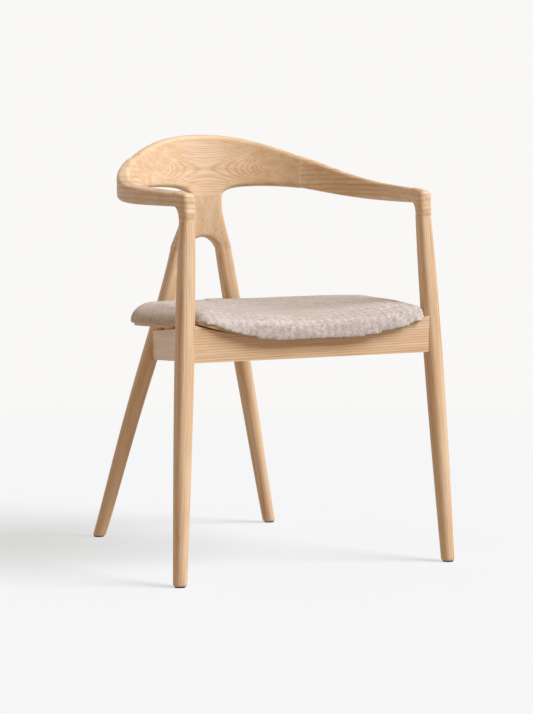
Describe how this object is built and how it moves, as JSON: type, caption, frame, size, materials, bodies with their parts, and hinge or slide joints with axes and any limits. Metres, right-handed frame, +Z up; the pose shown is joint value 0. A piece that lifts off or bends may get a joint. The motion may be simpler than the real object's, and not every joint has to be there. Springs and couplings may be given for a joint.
{
  "type": "armchair",
  "caption": "Light matt wooden armchair with a bent crest flowing into the arms, a forked back, splayed tapered legs and a greige upholstered saddle seat.",
  "frame": {"origin": "on the floor under the middle of the chair's plan", "axes": "+Z up, the sitter faces -Y, +X to the chair's right-hand side seen from the front"},
  "size_m": [0.5554, 0.5563, 0.76],
  "materials": {
    "wood": "matt lacquered light ash",
    "plywood": "moulded plywood, matt",
    "dowel_wood": "fluted beech dowel",
    "fabric": "greige woven upholstery",
    "foam": "cut polyurethane foam",
    "glide": "moulded nylon",
    "steel": "zinc plated",
    "brass": "plated threaded insert"
  },
  "bodies": {
    "root": {"arm_left": "wood", "arm_right": "wood", "back_fork": "wood", "corner_block_front_left": "wood", "corner_block_front_right": "wood", "corner_block_rear_left": "wood", "corner_block_rear_right": "wood", "corner_block_screws": "steel", "crest_rail": "wood", "elbow_dowel_left": "dowel_wood", "elbow_dowel_right": "dowel_wood", "foot_glide_front_left": "glide", "foot_glide_front_right": "glide", "foot_glide_rear_left": "glide", "foot_glide_rear_right": "glide", "fork_dowel_left": "dowel_wood", "fork_dowel_right": "dowel_wood", "front_leg_left": "wood", "front_leg_right": "wood", "front_rail": "wood", "front_rail_dowels": "dowel_wood", "neck_dowels": "dowel_wood", "rear_leg_left": "wood", "rear_leg_right": "wood", "rear_rail": "wood", "rear_rail_dowels": "dowel_wood", "scarf_dowels_left": "dowel_wood", "scarf_dowels_right": "dowel_wood", "seat_cover": "fabric", "seat_foam": "foam", "seat_inserts": "brass", "seat_screws": "steel", "seat_shell": "plywood", "side_rail_left": "wood", "side_rail_left_dowels": "dowel_wood", "side_rail_right": "wood", "side_rail_right_dowels": "dowel_wood"}
  },
  "joints": []
}
